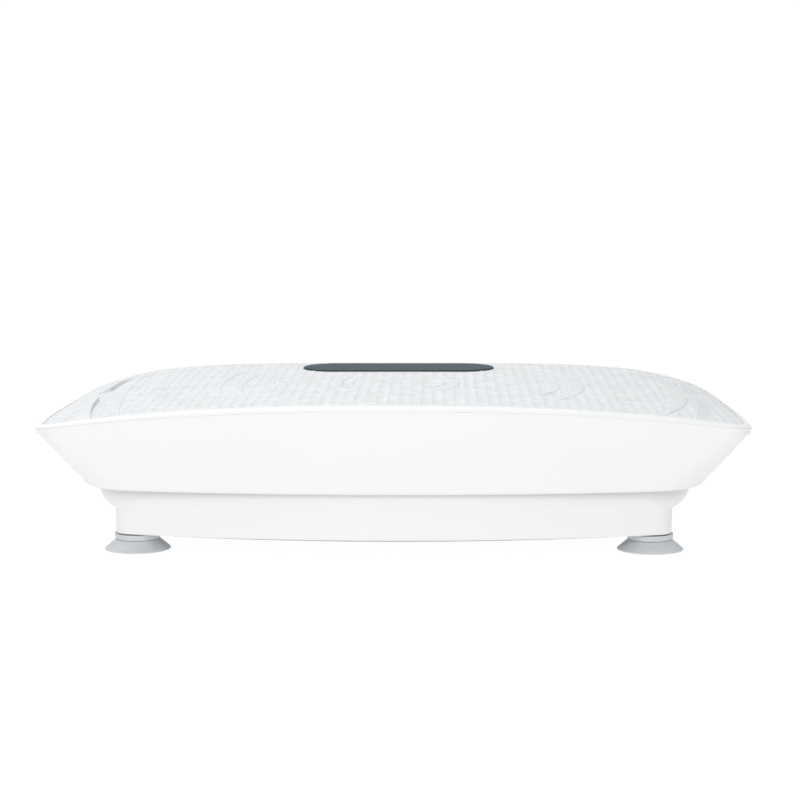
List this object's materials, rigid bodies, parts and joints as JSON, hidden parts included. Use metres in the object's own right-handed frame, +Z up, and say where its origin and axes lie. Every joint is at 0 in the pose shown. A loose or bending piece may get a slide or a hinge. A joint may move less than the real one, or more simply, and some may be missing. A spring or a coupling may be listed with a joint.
{
  "type": "vibration plate",
  "caption": "Slim floor-standing vibration plate: a bowed platform with a ribbed grey mat rocks about a front-to-back axis over a white base tub on suction feet.",
  "frame": {"origin": "on the floor, under the middle of the plate", "axes": "+X to the right of a user who faces the control lens, along the plate's length; +Y away from that user, towards the lens and the power inlet; +Z up"},
  "size_m": [0.67, 0.402, 0.1473],
  "materials": {
    "white_housing": "satin injection-moulded ABS, fine grain",
    "grey_mat": "soft grey moulded mat, fine lattice of small raised pads",
    "dark_lens": "smooth dark slate touch panel",
    "foot_rubber": "translucent grey soft rubber",
    "black_plastic": "black moulded plastic",
    "steel": "zinc-plated steel",
    "motor_paint": "black painted steel can",
    "alloy": "cast and machined aluminium",
    "bearing_bronze": "sintered bronze bush",
    "black_rubber": "matt black rubber",
    "circuit_board": "green fibreglass board"
  },
  "bodies": {
    "base": {"base_tub": "white_housing", "suction_cup_front_left": "foot_rubber", "suction_cup_front_right": "foot_rubber", "suction_cup_rear_left": "foot_rubber", "suction_cup_rear_right": "foot_rubber", "foot_socket_front_left": "foot_rubber", "foot_socket_front_right": "foot_rubber", "foot_socket_rear_left": "foot_rubber", "foot_socket_rear_right": "foot_rubber", "power_module": "black_plastic", "capacitor": "black_plastic", "inlet_lead": "black_plastic", "motor_lead": "black_plastic", "bottom_plate": "steel", "pivot_bracket_front": "steel", "pivot_bracket_rear": "steel", "motor_bracket": "steel", "crank_block_front": "steel", "crank_block_rear": "steel", "foot_screw_front_left": "steel", "foot_screw_front_right": "steel", "foot_screw_rear_left": "steel", "foot_screw_rear_right": "steel", "bracket_bolt_front_left": "steel", "bracket_bolt_front_right": "steel", "bracket_bolt_rear_left": "steel", "bracket_bolt_rear_right": "steel", "motor_can": "motor_paint", "heat_sink": "alloy", "pivot_bearing_front": "bearing_bronze", "pivot_bearing_rear": "bearing_bronze", "drive_belt": "black_rubber", "rubber_buffer_front_left": "black_rubber", "rubber_buffer_front_right": "black_rubber", "rubber_buffer_rear_left": "black_rubber", "rubber_buffer_rear_right": "black_rubber", "control_board": "circuit_board"},
    "platform": {"top_cover": "white_housing", "side_shell": "white_housing", "deck_mat": "grey_mat", "control_lens": "dark_lens", "display_board": "circuit_board", "platform_frame": "steel", "pivot_hanger_front": "steel", "pivot_hanger_rear": "steel", "pivot_pin_front": "steel", "pivot_pin_rear": "steel", "link_clevis": "steel", "link_pin": "steel"},
    "crank": {"crank_pulley": "alloy", "crank_shaft": "steel", "crank_eccentric": "steel"},
    "motor_rotor": {"motor_shaft": "steel", "motor_pulley": "alloy"},
    "link": {"link_rod": "steel"},
    "fuse_tray": {"fuse_drawer": "black_plastic"},
    "switch_rocker": {"power_switch": "black_plastic"}
  },
  "joints": [
    {"name": "platform_rock", "type": "hinge", "parent": "base", "child": "platform", "pos_m": [0, 0, 0.08], "axis": [0, 1, 0], "range_deg": [-1, 1], "stiffness_Nm_per_rad": 400},
    {"name": "crank_spin", "type": "hinge", "parent": "base", "child": "crank", "pos_m": [0.095, -0.068, 0.064], "axis": [0, 1, 0], "continuous": true},
    {"name": "motor_spin", "type": "hinge", "parent": "base", "child": "motor_rotor", "pos_m": [-0.06, -0.068, 0.064], "axis": [0, 1, 0], "continuous": true},
    {"name": "link_swing", "type": "hinge", "parent": "platform", "child": "link", "pos_m": [0.095, -0.028, 0.106], "axis": [0, 1, 0], "range_deg": [-2, 2]},
    {"name": "power_switch_rock", "type": "hinge", "parent": "base", "child": "switch_rocker", "pos_m": [0.0185, 0.1704, 0.0395], "axis": [1, 0, 0], "range_deg": [0, 20]},
    {"name": "fuse_drawer_slide", "type": "slide", "parent": "base", "child": "fuse_tray", "axis": [0, 1, 0], "range_m": [0, 0.014]}
  ],
  "couplings": [
    {"joint": "motor_spin", "follows": "crank_spin", "ratio": 3}
  ]
}
